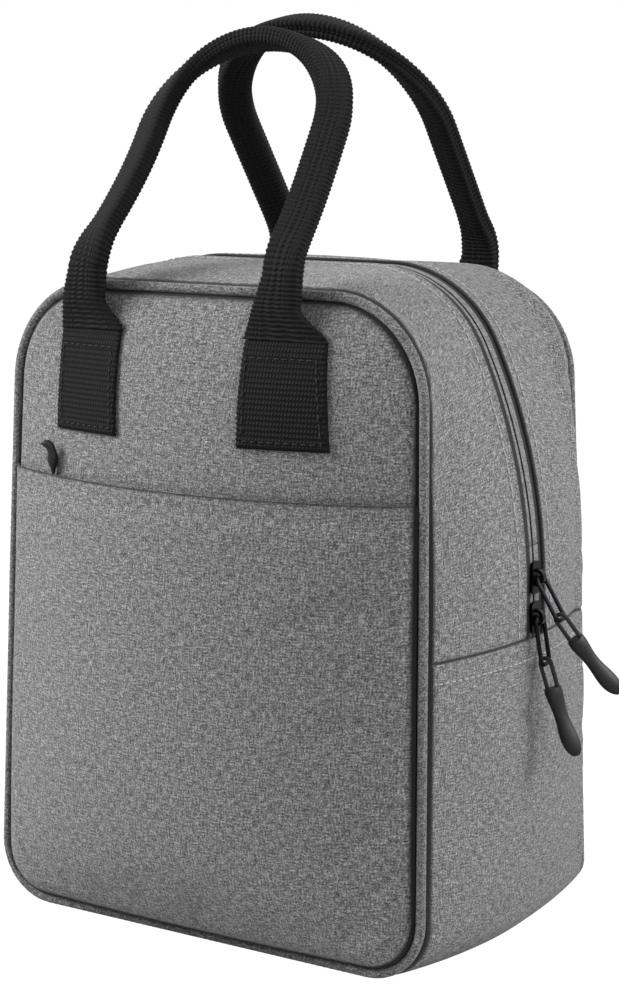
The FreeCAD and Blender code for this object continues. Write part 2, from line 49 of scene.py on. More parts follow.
# the bag's own lines in mm, as the frame has them: piped edges, swell of the faces and sides
bag = {"height": 268.0, "baseWidth": 208.0, "topWidth": 198.0, "baseDepth": 146.0, "topDepth": 124.0,
       "fold": 128.0, "topCorner": 42.0, "baseCorner": 24.0, "faceCrown": 25.0, "sideCrown": 10.5,
       "topCrown": 8.0, "shoulder": 145.0, "sideBow": 230.0, "crestCorner": 55.0, "cloth": 0.8,
       "beadRadius": 2.0, "beadInset": 0.5, "edge": 2.1, "liningDepth": 4.9, "blendTop": 172.0,
       "midCorner": 18.0, "backCorner": 11.0}
bagMiddle = (0, 0, bag["height"] / 2)
faceLean = math.atan2((bag["baseDepth"] - bag["topDepth"]) / 2, bag["height"])
bothSides = (("front", -1), ("back", 1))
bothHands = (("right", 1), ("left", -1))


def toLinear(code):
    parts = [int(code[i:i + 2], 16) / 255 for i in (1, 3, 5)]
    return [p / 12.92 if p <= 0.04045 else ((p + 0.055) / 1.055) ** 2.4 for p in parts] + [1.0]


def addNode(tree, kind, sockets=None, **settings):
    node = tree.nodes.new("ShaderNode" + kind)
    for key, value in settings.items():
        setattr(node, key, value)
    for key, value in (sockets or {}).items():
        if isinstance(value, bpy.types.NodeSocket):
            tree.links.new(value, node.inputs[key])
        else:
            node.inputs[key].default_value = value
    return node


def mathNode(tree, operation, *values):
    return addNode(tree, "Math", dict(enumerate(values)), operation=operation).outputs[0]


def noiseNode(tree, place, scale, detail, **sockets):
    return addNode(tree, "TexNoise", {"Vector": place, "Scale": scale, "Detail": detail, **sockets}).outputs[0]


def waveNode(tree, place, periodMm, direction, sockets=None, profile="SIN"):
    scale = 100 * math.pi / periodMm      # at scale 1 a wave texture repeats every pi / 10
    wave = addNode(tree, "TexWave", {"Vector": place, "Scale": scale, **(sockets or {})},
                   bands_direction=direction, wave_profile=profile)
    return wave.outputs["Fac"]


def colourRamp(tree, factor, stops):
    ramp = addNode(tree, "ValToRGB", {"Fac": factor})
    elements = ramp.color_ramp.elements
    while len(elements) < len(stops):
        elements.new(0.5)
    for element, (place, code) in zip(elements, stops):
        element.position = place
        element.color = toLinear(code)
    return ramp.outputs["Color"]


def startMaterial(name):
    material = bpy.data.materials.new(name)
    material.use_nodes = True
    tree = material.node_tree
    return material, tree, tree.nodes["Principled BSDF"]


def finishShader(tree, shader, colour, values, relief, strength, depth):
    tree.links.new(colour, shader.inputs["Base Color"])
    for key, value in values.items():
        shader.inputs[key].default_value = value
    bump = addNode(tree, "Bump", {"Height": relief, "Strength": strength, "Distance": depth})
    tree.links.new(bump.outputs[0], shader.inputs["Normal"])


# heathered polyester canvas: two greys of yarn spun together, plain woven, so it looks speckled and matte
heather = {"dark": "#38383a", "mid": "#808081", "light": "#cfcfd0", "shadow": "#050505", "threadMm": 0.75,
           "slubMm": 3.6, "wander": {"Distortion": 1.2, "Detail": 1.0, "Detail Scale": 2.0},
           "surface": {"Roughness": 0.92, "Sheen Weight": 0.12, "Sheen Roughness": 0.6}}


def makeHeather(name, dark, mid, light, coordinates):
    material, tree, shader = startMaterial(name)
    place = addNode(tree, "TexCoord").outputs[coordinates]
    thread = 1000 / heather["threadMm"]      # 0.4 mm yarn drawn at 0.75 mm so that it shows
    slub = 1000 / heather["slubMm"]
    weft, warp, fibres = [
        addNode(tree, "Mapping", {"Vector": place, "Scale": scale}).outputs[0]
        for scale in ((slub, thread, thread), (thread, slub, thread), (thread, thread, thread))]
    yarns = mathNode(tree, "ADD", noiseNode(tree, weft, 1.0, 2.0), noiseNode(tree, warp, 1.0, 2.0))
    speck = noiseNode(tree, fibres, 1.15, 3.0, Roughness=0.7)
    specks = mathNode(tree, "MULTIPLY_ADD", speck, 0.56, mathNode(tree, "MULTIPLY", yarns, 0.22))
    colour = colourRamp(tree, specks, [(0.4, dark), (0.5, mid), (0.61, light)])
    # painted shade: where the paintedShade attribute is high the cloth colour is mixed to near black. This stands
    # in for the shadow in the grooves beside the piping, at the side fold, at the zip's hem edges and on the zip
    # tape under the hems
    paintedShade = addNode(tree, "Attribute", attribute_name="paintedShade").outputs["Fac"]
    shaded = addNode(tree, "Mix", {0: paintedShade, 6: colour, 7: toLinear(heather["shadow"])}, data_type="RGBA")
    weave = mathNode(tree, "MAXIMUM", *[
        waveNode(tree, place, heather["threadMm"], direction, heather["wander"]) for direction in "XY"])
    relief = mathNode(tree, "ADD", weave, specks)
    finishShader(tree, shader, shaded.outputs[2], heather["surface"], relief, 0.35, 0.0004)
    return material


# black polypropylene webbing: thick picks across the strap, the crest of each float painted lighter as a painted
# highlight
webbing = {"dark": "#020202", "mid": "#060607", "light": "#121213", "pickMm": 2.0, "endMm": 1.4, "grain": 900.0}


def makeWebbing(name):
    material, tree, shader = startMaterial(name)
    place = addNode(tree, "UVMap").outputs[0]
    ends = waveNode(tree, place, webbing["endMm"], "X", {"Distortion": 0.4})
    picks = waveNode(tree, place, webbing["pickMm"], "Y", {"Distortion": 0.6})
    knit = mathNode(tree, "MULTIPLY", ends, picks)
    tone = mathNode(tree, "MULTIPLY_ADD", noiseNode(tree, place, webbing["grain"], 2.0), 0.45, knit)
    # painted highlight: the colour runs from near black to a lighter grey on the crests of the weave
    colour = colourRamp(tree, tone, [(0.12, webbing["dark"]), (0.5, webbing["mid"]), (1.0, webbing["light"])])
    finishShader(tree, shader, colour, {"Roughness": 0.75, "Specular IOR Level": 0.22}, knit, 0.7, 0.0008)
    return material


# one function for the plain finishes: a speckled tone and a fine grain, each with its own size in mm
def makeFinish(name, low, high, grainMm, roughness, metallic=0.0, depthMm=0.05):
    material, tree, shader = startMaterial(name)
    grain = noiseNode(tree, addNode(tree, "TexCoord").outputs["Object"], 1000 / grainMm, 4.0)
    colour = colourRamp(tree, grain, [(0.3, low), (0.7, high)])
    finishShader(tree, shader, colour, {"Roughness": roughness, "Metallic": metallic}, grain, 0.4, depthMm * mm)
    return material


# foil-coated lining: silver film embossed with a small diamond grid, crinkled
foil = {"low": "#8f9294", "high": "#c9cbcc", "diamondMm": 6.0, "crinkleMm": 18.0}


def makeFoil(name):
    material, tree, shader = startMaterial(name)
    place = addNode(tree, "UVMap").outputs[0]
    turned = addNode(tree, "Mapping", {"Vector": place, "Rotation": (0, 0, math.pi / 4)}).outputs[0]
    emboss = mathNode(tree, "MINIMUM", *[
        waveNode(tree, turned, foil["diamondMm"], direction, profile="TRI") for direction in "XY"])
    crinkle = noiseNode(tree, place, 1000 / foil["crinkleMm"], 5.0)
    relief = mathNode(tree, "MULTIPLY_ADD", crinkle, 1.5, emboss)
    colour = colourRamp(tree, crinkle, [(0.3, foil["low"]), (0.7, foil["high"])])
    finishShader(tree, shader, colour, {"Metallic": 0.75, "Roughness": 0.38}, relief, 0.5, 0.0008)
    return material


heatherCloth = makeHeather("heatherCanvas", heather["dark"], heather["mid"], heather["light"], "UV")
pipingCloth = makeHeather("pipingCanvas", "#363637", "#78787a", "#b8b8b9", "Object")
zipCloth = makeHeather("zipTapeCanvas", "#4a4a4b", "#8a8a8b", "#bcbcbd", "UV")
zipTapeCloth = makeFinish("wovenZipTape", "#4a4a4b", "#6c6c6d", 0.8, 0.85, depthMm=0.15)
coilNylon = makeFinish("nylonCoil", "#242425", "#323233", 1.5, 0.45)
blackWebbing = makeWebbing("blackWebbing")
gunmetal = makeFinish("platedZinc", "#151517", "#222225", 2.5, 0.34, metallic=0.9, depthMm=0.03)
softRubber = makeFinish("mouldedRubber", "#0d0d0e", "#161617", 0.7, 0.5, depthMm=0.06)
braidedCord = makeFinish("braidedCord", "#0f0f10", "#262627", 0.9, 0.75, depthMm=0.2)
greyThread = makeFinish("greyThread", "#b4b4b5", "#dcdcdd", 0.6, 0.8)
blackThread = makeFinish("blackThread", "#101011", "#222223", 0.6, 0.75)
foilLining = makeFoil("foilLining")
print("materials made")


def pack(*values):
    return np.stack(np.broadcast_arrays(*values), -1)


def unit(vectors):
    return vectors / np.linalg.norm(vectors, axis=-1, keepdims=True)


def smoothStep(share):
    return share * share * (3 - 2 * share)


def easeOff(distance, reach):
    return smoothStep(np.clip(1 - distance / reach, 0, 1))


def lengthAlong(path):
    return np.concatenate([[0], np.cumsum(np.linalg.norm(np.diff(path, axis=0), axis=1))])


def placesAt(at, length, path):
    return pack(*[np.interp(at, length, column) for column in path.T])


def resample(path, step, closed=False):
    if closed:
        path = np.concatenate([path, path[:1]])
    length = lengthAlong(path)
    count = max(2, int(round(length[-1] / step)))
    at = np.linspace(0, length[-1], count + 1)
    return placesAt(at[:-1] if closed else at, length, path)


def distanceFrom(line, x, z):
    flat = pack(x.ravel(), z.ravel())
    return np.array([np.sqrt(((line - point) ** 2).sum(1).min()) for point in flat]).reshape(x.shape)


def halfWidth(z):
    return (bag["baseWidth"] - (bag["baseWidth"] - bag["topWidth"]) * z / bag["height"]) / 2


def halfDepth(z):
    return (bag["baseDepth"] - (bag["baseDepth"] - bag["topDepth"]) * z / bag["height"]) / 2


def faceDepth(x, z):
    swell = (1 - (x / halfWidth(z)) ** 2) * (1 - (2 * z / bag["height"] - 1) ** 4)
    return halfDepth(z) + bag["faceCrown"] * swell


def run(start, end, count):
    share = np.linspace(0, 1, count + 1)[:, None]
    return np.array(start) * (1 - share) + np.array(end) * share


def turn(centre, radius, first, last, count):
    angle = np.linspace(first, last, count + 1)
    return pack(centre[0] + radius * np.cos(angle), centre[1] + radius * np.sin(angle))


def joinRuns(*runs):
    return np.concatenate([runs[0]] + [r[1:] for r in runs[1:]])


baseCorners = {-1: bag["baseCorner"], 1: bag["backCorner"]}      # fuller at the back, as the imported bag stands
sideRows = 22      # rows of an outline from the fold down to the base corner


# right half of an outline, as (x, z) from the fold to the middle line, over the top or under the base
def halfOutline(inset, foot, swollen, upper, baseCorner=bag["baseCorner"]):
    if swollen:
        foldX = baseX = bag["baseWidth"] / 2 + bag["sideCrown"] - inset
    else:
        foldX, baseX = halfWidth(bag["fold"]) - inset, bag["baseWidth"] / 2 - inset
    if not upper:
        corner = baseCorner - inset
        arc = turn((baseX - corner, foot + corner), corner, 0, -math.pi / 2, 10)
        return joinRuns(run((foldX, bag["fold"]), arc[0], sideRows), arc, run(arc[-1], (0, foot), 18))
    if swollen:
        head = bag["height"] + bag["topCrown"] - inset
        bow, crest = bag["sideBow"] - inset, bag["crestCorner"] - inset
        centreX, crestZ = foldX - bow, head - crest
        crestX = centreX + math.sqrt((bow - crest) ** 2 - (crestZ - bag["shoulder"]) ** 2)
        angle = math.atan2(crestZ - bag["shoulder"], crestX - centreX)
        upperSide = turn((centreX, bag["shoulder"]), bow, 0, angle, 16)
        arc = turn((crestX, crestZ), crest, angle, math.pi / 2, 16)
    else:
        head, corner = bag["height"] - inset, bag["topCorner"] - inset
        topX = bag["topWidth"] / 2 - inset
        arc = turn((topX - corner, head - corner), corner, 0, math.pi / 2, 16)
        upperSide = run((halfWidth(bag["shoulder"]) - inset, bag["shoulder"]), arc[0], 16)
    return joinRuns(run((foldX, bag["fold"]), upperSide[0], 4), upperSide, arc, run(arc[-1], (0, head), 16))


def wholeOutline(inset, foot, swollen, upper, baseCorner=bag["baseCorner"]):
    half = halfOutline(inset, foot, swollen, upper, baseCorner)
    return np.concatenate([half, half[::-1][1:] * np.array([-1, 1])])


pipedEdge = 999.0      # stands for the piped edge, whose distance from the zip changes with height


# points of the gusset between two distances from the zip's line: rows follow the outline, columns the depth
def gussetPoints(upper, inset, nearY, farY, columns, foot=None):
    foot = inset if foot is None else foot
    front, back = [wholeOutline(inset, foot, False, upper, baseCorners[sign]) for sign in (-1, 1)]
    middle = wholeOutline(inset, foot, True, upper, bag["midCorner"])
    reach = bag["baseDepth"] / 2 - front[:, 1] * math.sin(faceLean)
    near, far = [np.sign(y) * (reach - bag["edge"]) if abs(y) == pipedEdge else np.full(len(reach), float(y))
                 for y in (nearY, farY)]
    share = np.linspace(0, 1, columns + 1)
    y = near[:, None] * (1 - share) + far[:, None] * share
    q = (y / reach[:, None]) ** 2
    end = np.where(y[..., None] < 0, front[:, None], back[:, None])
    x = end[..., 0] * q + middle[:, :1] * (1 - q)
    z = end[..., 1] * math.cos(faceLean) * q + middle[:, 1:] * (1 - q)
    return pack(x, y, z)


def pickRows(points, at):
    low = np.minimum(at.astype(int), len(points) - 2)
    share = (at - low)[:, None, None]
    return points[low] * (1 - share) + points[low + 1] * share


# the row of a gusset grid at a height, on the right (hand 1) or on the left (hand -1)
def rowAt(points, height, hand):
    z = points[:, 0, 2]
    peak = len(z) // 2
    if hand > 0:
        return np.interp(height, z[:peak], np.arange(peak))
    return len(z) - 1 - np.interp(height, z[::-1][:peak], np.arange(peak))


def meshFrom(name, points, uv=None, paintedShade=None):
    rows, columns = points.shape[:2]
    bpy.ops.object.select_all(action="DESELECT")
    bpy.ops.mesh.primitive_grid_add(x_subdivisions=columns - 1, y_subdivisions=rows - 1, size=1)
    piece = bpy.context.object
    piece.name = piece.data.name = name
    piece.data.vertices.foreach_set("co", (points * mm).astype(np.float32).ravel())
    if uv is None:
        along = np.linalg.norm(np.diff(points, axis=0), axis=2).mean(1)
        across = np.linalg.norm(np.diff(points, axis=1), axis=2).mean(0)
        uv = pack(*np.meshgrid(*[np.concatenate([[0], np.cumsum(steps)]) for steps in (across, along)]))
    index = np.zeros(len(piece.data.loops), np.int32)
    piece.data.loops.foreach_get("vertex_index", index)
    flat = (uv * mm).reshape(-1, 2)[index]
    piece.data.uv_layers[0].data.foreach_set("uv", flat.astype(np.float32).ravel())
    # paintedShade: a mask of painted shade, stored per point for the cloth materials
    if paintedShade is not None:
        shade = piece.data.attributes.new("paintedShade", "FLOAT", "POINT")
        shade.data.foreach_set("value", np.clip(paintedShade, 0, 1).astype(np.float32).ravel())
    piece.data.update()
    return piece


def addToScene(name, data):
    thing = bpy.data.objects.new(name, data)
    bpy.context.scene.collection.objects.link(thing)
    return thing


def dress(piece, material):
    piece.data.materials.clear()
    piece.data.materials.append(material)


def faceOutwards(piece):
    middle = Vector(bagMiddle) * mm
    if sum(p.normal.dot(p.center - middle) * p.area for p in piece.data.polygons) < 0:
        piece.data.flip_normals()


# turns a sheet outwards and gives it its thickness, inwards
def makeCloth(piece, thickness, material):
    faceOutwards(piece)
    bpy.context.view_layer.objects.active = piece
    solid = piece.modifiers.new("cloth", "SOLIDIFY")
    solid.thickness = thickness * mm
    solid.offset = -1
    solid.use_even_offset = False
    bpy.ops.object.modifier_apply(modifier=solid.name)
    for polygon in piece.data.polygons:
        polygon.use_smooth = True
    dress(piece, material)
    return piece


# joins the ends of a rolled grid, caps it and turns it outwards
def cleanMesh(piece, merge=0.0, capBy=None):
    bpy.ops.object.select_all(action="DESELECT")
    piece.select_set(True)
    bpy.context.view_layer.objects.active = piece
    bpy.ops.object.mode_set(mode="EDIT")
    bpy.ops.mesh.select_all(action="SELECT")
    if merge:
        bpy.ops.mesh.remove_doubles(threshold=merge)
    if capBy:
        bpy.ops.mesh.select_all(action="DESELECT")
        bpy.ops.mesh.select_mode(type=capBy)
        bpy.ops.mesh.select_non_manifold()
        bpy.ops.mesh.edge_face_add()
        bpy.ops.mesh.select_mode(type="VERT")
        bpy.ops.mesh.select_all(action="SELECT")
    bpy.ops.mesh.normals_make_consistent(inside=False)
    bpy.ops.object.mode_set(mode="OBJECT")
    for polygon in piece.data.polygons:
        polygon.use_smooth = len(polygon.vertices) < 5      # caps stay flat


def follow(piece):
    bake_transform(piece)


# lets a sewn cloth settle under the push of the foam behind it, held along its seams
settleLook = {"frames": 20, "pressure": 2.5, "growth": 0.006, "mass": 0.25, "bending": 2.0}


def settle(piece, hold, capMm):
    scene, mesh = bpy.context.scene, piece.data
    before = np.zeros(len(mesh.vertices) * 3, np.float32)
    mesh.vertices.foreach_get("co", before)
    group = piece.vertex_groups.new(name="hold")
    for index, weight in enumerate(np.clip(hold, 0, 1).ravel()):
        if weight > 0:
            group.add([index], float(weight), "REPLACE")
    cloth = piece.modifiers.new("settle", "CLOTH")
    cloth.settings.mass = settleLook["mass"]
    cloth.settings.vertex_group_mass = group.name
    cloth.settings.use_pressure = True
    cloth.settings.uniform_pressure_force = settleLook["pressure"]
    cloth.settings.shrink_min = -settleLook["growth"]
    cloth.settings.bending_stiffness = settleLook["bending"]
    cloth.settings.effector_weights.gravity = 0
    cloth.collision_settings.use_collision = False
    cloth.point_cache.frame_start, cloth.point_cache.frame_end = 1, settleLook["frames"]
    for number in range(1, settleLook["frames"] + 1):
        scene.frame_set(number)
    settled = piece.evaluated_get(bpy.context.evaluated_depsgraph_get()).data
    after = np.zeros(len(before), np.float32)
    settled.vertices.foreach_get("co", after)
    piece.modifiers.remove(cloth)
    piece.vertex_groups.remove(group)
    scene.frame_set(1)
    move = (after - before).reshape(-1, 3)
    size = np.maximum(np.linalg.norm(move, axis=1), 1e-9)[:, None]
    move = move / size * capMm * mm * np.tanh(size / (capMm * mm))
    mesh.vertices.foreach_set("co", (before.reshape(-1, 3) + move).ravel())
    mesh.update()
    print("settled", piece.name, "by up to", round(float(size.max()) * 1000, 2), "mm")


# fine slack of sewn cloth: long soft waves, the same every run
def slack(points, size, wave, seed):
    x, y, z = points[..., 0] / wave, points[..., 1] / wave, points[..., 2] / wave
    total = np.zeros(x.shape)
    for k in range(4):
        shift = seed * 1.7 + k * 2.1
        level = np.sin(x * (1.1 + 0.6 * k) + y * (0.9 + 0.4 * k) + shift)
        total += level * np.cos(z * (1.0 + 0.5 * k) - shift * 0.7)
    return total * size / 3


# closed outline of a panel, from the base middle up the right side and down the left
def ringOf(edge):
    upperRight, lowerRight = edge
    rightSide = np.concatenate([lowerRight[::-1], upperRight[1:]])
    ring = np.concatenate([rightSide, rightSide[::-1][1:-1] * np.array([-1, 1])])
    return np.concatenate([ring, ring[:1]])


# square grid laid over a rounded outline, so that the edge rows follow the seam
def panelPoints(edge, rows, columns):
    ring = ringOf(edge)
    length = lengthAlong(ring)
    total = length[-1]
    middleZ = (ring[:, 1].min() + ring[:, 1].max()) / 2
    span, rise = ring[:, 0].max(), ring[:, 1].max() - middleZ
    br, tr, tl, bl = [
        length[np.argmax(signX * ring[:, 0] / span + signZ * (ring[:, 1] - middleZ) / rise)]
        for signX, signZ in ((1, -1), (1, 1), (-1, 1), (-1, -1))]
    even = [np.linspace(-1, 1, count + 1) for count in (columns, rows)]
    u, v = np.meshgrid(*[np.sign(t) * (1 - (1 - np.abs(t)) ** 1.5) for t in even])
    radius = np.maximum(np.abs(u), np.abs(v))
    safe = np.where(radius == 0, 1, radius)
    a, b = u / safe, v / safe
    onRight, onTop, onLeft = a >= 1 - 1e-9, b >= 1 - 1e-9, a <= -1 + 1e-9
    place = (bl + (total + br - bl) * (a + 1) / 2) % total
    place = np.where(onLeft, tl + (bl - tl) * (1 - b) / 2, place)
    place = np.where(onTop, tr + (tl - tr) * (1 - a) / 2, place)
    place = np.where(onRight, br + (tr - br) * (b + 1) / 2, place)
    x = np.interp(place, length, ring[:, 0]) * radius
    z = middleZ + (np.interp(place, length, ring[:, 1]) - middleZ) * radius
    return x, z


# front and back panels: crowned cloth over foam, drawn into the piping all round
panelLook = {"rows": 104, "columns": 84, "rimDepth": 2.6, "rimReach": 5.0, "seamShadeMm": 2.4, "slack": 0.35,
             "wave": 38.0, "calm": 30.0}
panelInset = bag["beadInset"] + bag["edge"]
panelFoot = bag["beadRadius"] + bag["edge"]
panelEdges = {sign: (halfOutline(panelInset, panelFoot, False, True),
                     halfOutline(panelInset, panelFoot, False, False, corner))
              for sign, corner in baseCorners.items()}


def makePanel(name, sign, seed):
    look, edge = panelLook, panelEdges[sign]
    x, z = panelPoints(edge, look["rows"], look["columns"])
    fromEdge = distanceFrom(resample(ringOf(edge), 1.0), x, z)
    depth = faceDepth(x, z) + bag["cloth"] - easeOff(fromEdge, look["rimReach"]) ** 2 * look["rimDepth"]
    points = pack(x, sign * depth, z)
    points[..., 1] += slack(points, look["slack"], look["wave"], seed) * (1 - easeOff(fromEdge, look["calm"]))
    # painted shade: a dark band along the piping, standing in for the shadow in the groove beside the bead
    paintedShade = easeOff(fromEdge - look["seamShadeMm"] / 2, look["seamShadeMm"] / 2)
    return makeCloth(meshFrom(name, points, pack(x, z), paintedShade), bag["cloth"], heatherCloth)


for (side, sign), seed in zip(bothSides, (1, 5)):
    panel = makePanel(side + "_panel", sign, seed)
    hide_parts(side + "_panel_lower", side + "_panel_upper")
    follow(panel)
print("panels made")

# front pocket: a second cloth from the base up to its open edge, which stands off over the hidden zip
pocketLook = {"top": 190.0, "gap": 2.6, "rimGap": 0.9, "gapReach": 9.0, "rows": 84, "columns": 84,
              "rimDepth": 2.4, "rimReach": 5.0, "slack": 0.4, "wave": 45.0, "calm": 30.0, "seamShadeMm": 2.4,
              "hemShade": 0.85, "holdReach": 10.0, "hemHold": 14.0, "capMm": 2.5}


def makePocket():
    look, lower, top = pocketLook, panelEdges[-1][1], pocketLook["top"]
    topX = halfWidth(top) - panelInset
    side = run((halfWidth(bag["fold"]) - panelInset, bag["fold"]), (topX, top), 12)
    edge = (joinRuns(side, run((topX, top), (0, top), 20)), lower)
    x, z = panelPoints(edge, look["rows"], look["columns"])
    seamLine = resample(np.concatenate([side[::-1], lower]), 1.0)
    fromEdge = distanceFrom(np.concatenate([seamLine, seamLine * np.array([-1, 1])]), x, z)
    rim = easeOff(fromEdge, look["gapReach"])
    gap = look["gap"] * (1 - rim) + look["rimGap"] * rim
    rimDrop = look["rimDepth"] * easeOff(fromEdge, look["rimReach"]) ** 2
    points = pack(x, -(faceDepth(x, z) + bag["cloth"] * 2 + gap - rimDrop), z)
    loose = (1 - rim) * np.clip((top - z) / look["calm"], 0.2, 1)
    points[..., 1] += slack(points, look["slack"], look["wave"], 3) * loose
    # painted shade: a dark band along the pocket's sewn edges and a dark line along its open top edge, standing in
    # for the shade there
    paintedShade = easeOff(fromEdge - look["seamShadeMm"] / 2, look["seamShadeMm"] / 2)
    paintedShade = np.maximum(paintedShade, look["hemShade"] * easeOff(top - z - 0.4, 0.9))
    piece = meshFrom("pocket_panel", points, pack(x, z), paintedShade)
    faceOutwards(piece)
    hold = np.maximum(easeOff(fromEdge, look["holdReach"]), 0.5 * easeOff(top - z, look["hemHold"]))
    settle(piece, hold, look["capMm"])
    return makeCloth(piece, bag["cloth"], heatherCloth)


pocketPanel = makePocket()
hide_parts("pocket_panel_lower", "pocket_panel_upper")
follow(pocketPanel)
print("pocket made")

# gusset: one band under the base up to the side seams, and two bands either side of the zip
gussetLook = {"zipEdge": 7.0, "columns": 48, "halfColumns": 30, "fine": 200, "slack": 0.3, "wave": 42.0,
              "calm": 25.0, "hemCalm": 20.0, "floor": 12.0, "edgeDip": 1.6, "edgeReach": 4.5,
              "seamShadeMm": {-1: 2.2, 1: 1.8}, "cornerShadeMm": {-1: 3.3, 1: 0.8}, "seamShadeSoft": 1.2,
              "cornerHeight": 238.0, "cornerReach": {"below": 42.0, "above": 80.0}, "backRoll": 2.5,
              "rollMm": 8.0, "rollFoot": 8.0, "rollRise": 16.0, "foldDip": 0.7, "foldReach": 2.5,
              "foldShade": 0.9, "hemRise": 0.5, "hemMm": 1.4, "hemReach": 2.2, "hemDrop": 0.8, "hemEdge": 0.9,
              "holdReach": 10.0, "foldHold": 10.0, "hemHold": 9.0, "floorHold": 14.0, "holdSoft": 12.0,
              "capMm": 2.0}
edgeRows = np.array([0, 0.08, 0.18, 0.32, 0.55])      # closer rows at both ends of a band


def makeGusset(name, upper, nearY, farY, columns, seed):
    look, zipped = gussetLook, abs(farY) < pipedEdge
    points = gussetPoints(upper, 0.0, nearY, farY, look["fine"], 0.0)
    even = np.linspace(0, 1, columns + 1)
    share = (1 - np.cos(math.pi * even)) / 2 * 0.85 + even * 0.15      # closer columns at the sewn edges
    points = pickRows(points.transpose(1, 0, 2), share * look["fine"]).transpose(1, 0, 2)
    last = len(points) - 1
    points = pickRows(points, np.concatenate([edgeRows, np.arange(1, last), last - edgeRows[::-1]]))
    width = np.linalg.norm(points[:, -1] - points[:, 0], axis=1)[:, None]
    fromNear, fromFar = share * width, (1 - share) * width
    outward = points * np.array([1, 0, 1]) - np.array(bagMiddle)
    outward[..., 0] *= 1.2
    outward = unit(outward)
    piped = fromNear if zipped else np.minimum(fromNear, fromFar)
    height = points[..., 2]
    fromFold = np.abs(height - bag["fold"])
    dip = look["edgeDip"] * easeOff(piped, look["edgeReach"]) ** 2
    dip = dip + look["foldDip"] * easeOff(fromFold, look["foldReach"]) ** 2
    if max(nearY, farY) == pipedEdge:      # the cloth rolls out beside the back piping and hides it from the front
        fromBack = fromFar if farY == pipedEdge else fromNear
        roll = look["backRoll"] * easeOff(np.abs(fromBack - look["rollMm"]), look["rollMm"])
        dip = dip - roll * (1 - easeOff(height - look["rollFoot"], look["rollRise"]))
    # painted shade: a dark band along the piping, wider towards the top corners, and a dark line along the side
    # fold, standing in for the shadow in the grooves there
    fromCorner = height - look["cornerHeight"]
    reach = np.where(fromCorner > 0, look["cornerReach"]["above"], look["cornerReach"]["below"])
    corner = easeOff(np.abs(fromCorner), reach)
    front, back = [look["seamShadeMm"][sign] + look["cornerShadeMm"][sign] * corner for sign in (-1, 1)]
    plateau = np.where(points[..., 1] > 0, back, front)
    paintedShade = easeOff(piped - plateau, look["seamShadeSoft"])
    paintedShade = np.maximum(paintedShade, look["foldShade"] * easeOff(fromFold - 0.3, 0.7))
    soft = slack(points, look["slack"], look["wave"], seed) * (1 - easeOff(piped, look["calm"]))
    hold = np.maximum(easeOff(piped, look["holdReach"]), easeOff(fromFold - look["foldHold"], look["holdSoft"]))
    if zipped:
        dip = dip - look["hemRise"] * easeOff(np.abs(fromFar - look["hemMm"]), look["hemReach"])
        dip = dip + look["hemDrop"] * easeOff(fromFar, look["hemEdge"])
        soft = soft * (1 - easeOff(fromFar, look["hemCalm"]))
        # painted shade: the hem's edge darkened, standing in for the shadow in the gap beside the zip tape
        paintedShade = np.maximum(paintedShade, easeOff(fromFar - look["hemEdge"], 0.6))
        hold = np.maximum(hold, easeOff(fromFar - look["hemHold"], look["holdSoft"]))
    soft = np.where(height < look["floor"], 0, soft)
    points = points + outward * (soft - dip)[..., None]
    points[..., 2] = np.maximum(points[..., 2], 0)
    piece = meshFrom(name, points, None, paintedShade)
    faceOutwards(piece)
    hold = np.maximum(hold, easeOff(points[..., 2] - look["floorHold"], look["holdSoft"]))
    settle(piece, hold, look["capMm"])
    return makeCloth(piece, bag["cloth"], heatherCloth)


lowerGusset = makeGusset("lower_gusset_cloth", False, -pipedEdge, pipedEdge, gussetLook["columns"], 2)
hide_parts("lower_gusset")
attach(lowerGusset, "base")
for (side, sign), seed in zip(bothSides, (7, 9)):
    band = makeGusset(side + "_gusset_cloth", True, sign * pipedEdge, sign * gussetLook["zipEdge"],
                      gussetLook["halfColumns"], seed)
    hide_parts(side + "_gusset_upper")
    follow(band)
print("gusset made")

# piping: a corded bead of the same cloth, let into the seam round each panel
beadLook = {"radius": {"front": 1.95, "back": 1.9}, "inset": {"front": 0.5, "back": 2.0}, "lift": 1.05,
            "pucker": 0.03, "puckerMm": 3.1, "stepMm": 1.5, "sides": 12}


def tubeAlong(name, path, radius, sides, closed, ripple, rippleMm):
    ahead = unit(np.roll(path, -1, 0) - np.roll(path, 1, 0) if closed else np.gradient(path, axis=0))
    length = lengthAlong(path)
    side = np.zeros(path.shape)
    vector = np.cross(ahead[0], [0.31, 0.87, 0.38])      # any direction that the path doesn't take
    for i, forward in enumerate(ahead):
        vector = unit(vector - forward * vector.dot(forward))
        side[i] = vector
    other = np.cross(ahead, side)
    angle = np.linspace(0, 2 * math.pi, sides + 1)
    size = radius * (1 + ripple * np.sin(length / rippleMm * 2 * math.pi))
    around = np.cos(angle)[None, :, None] * side[:, None] + np.sin(angle)[None, :, None] * other[:, None]
    rings = path[:, None] + size[:, None, None] * around
    if closed:
        rings = np.concatenate([rings, rings[:1]])
        length = np.concatenate([length, [length[-1] + np.linalg.norm(path[0] - path[-1])]])
    piece = meshFrom(name, rings, pack(*np.meshgrid(angle * radius, length)))
    cleanMesh(piece, 0.00002, None if closed else "EDGE")
    return piece


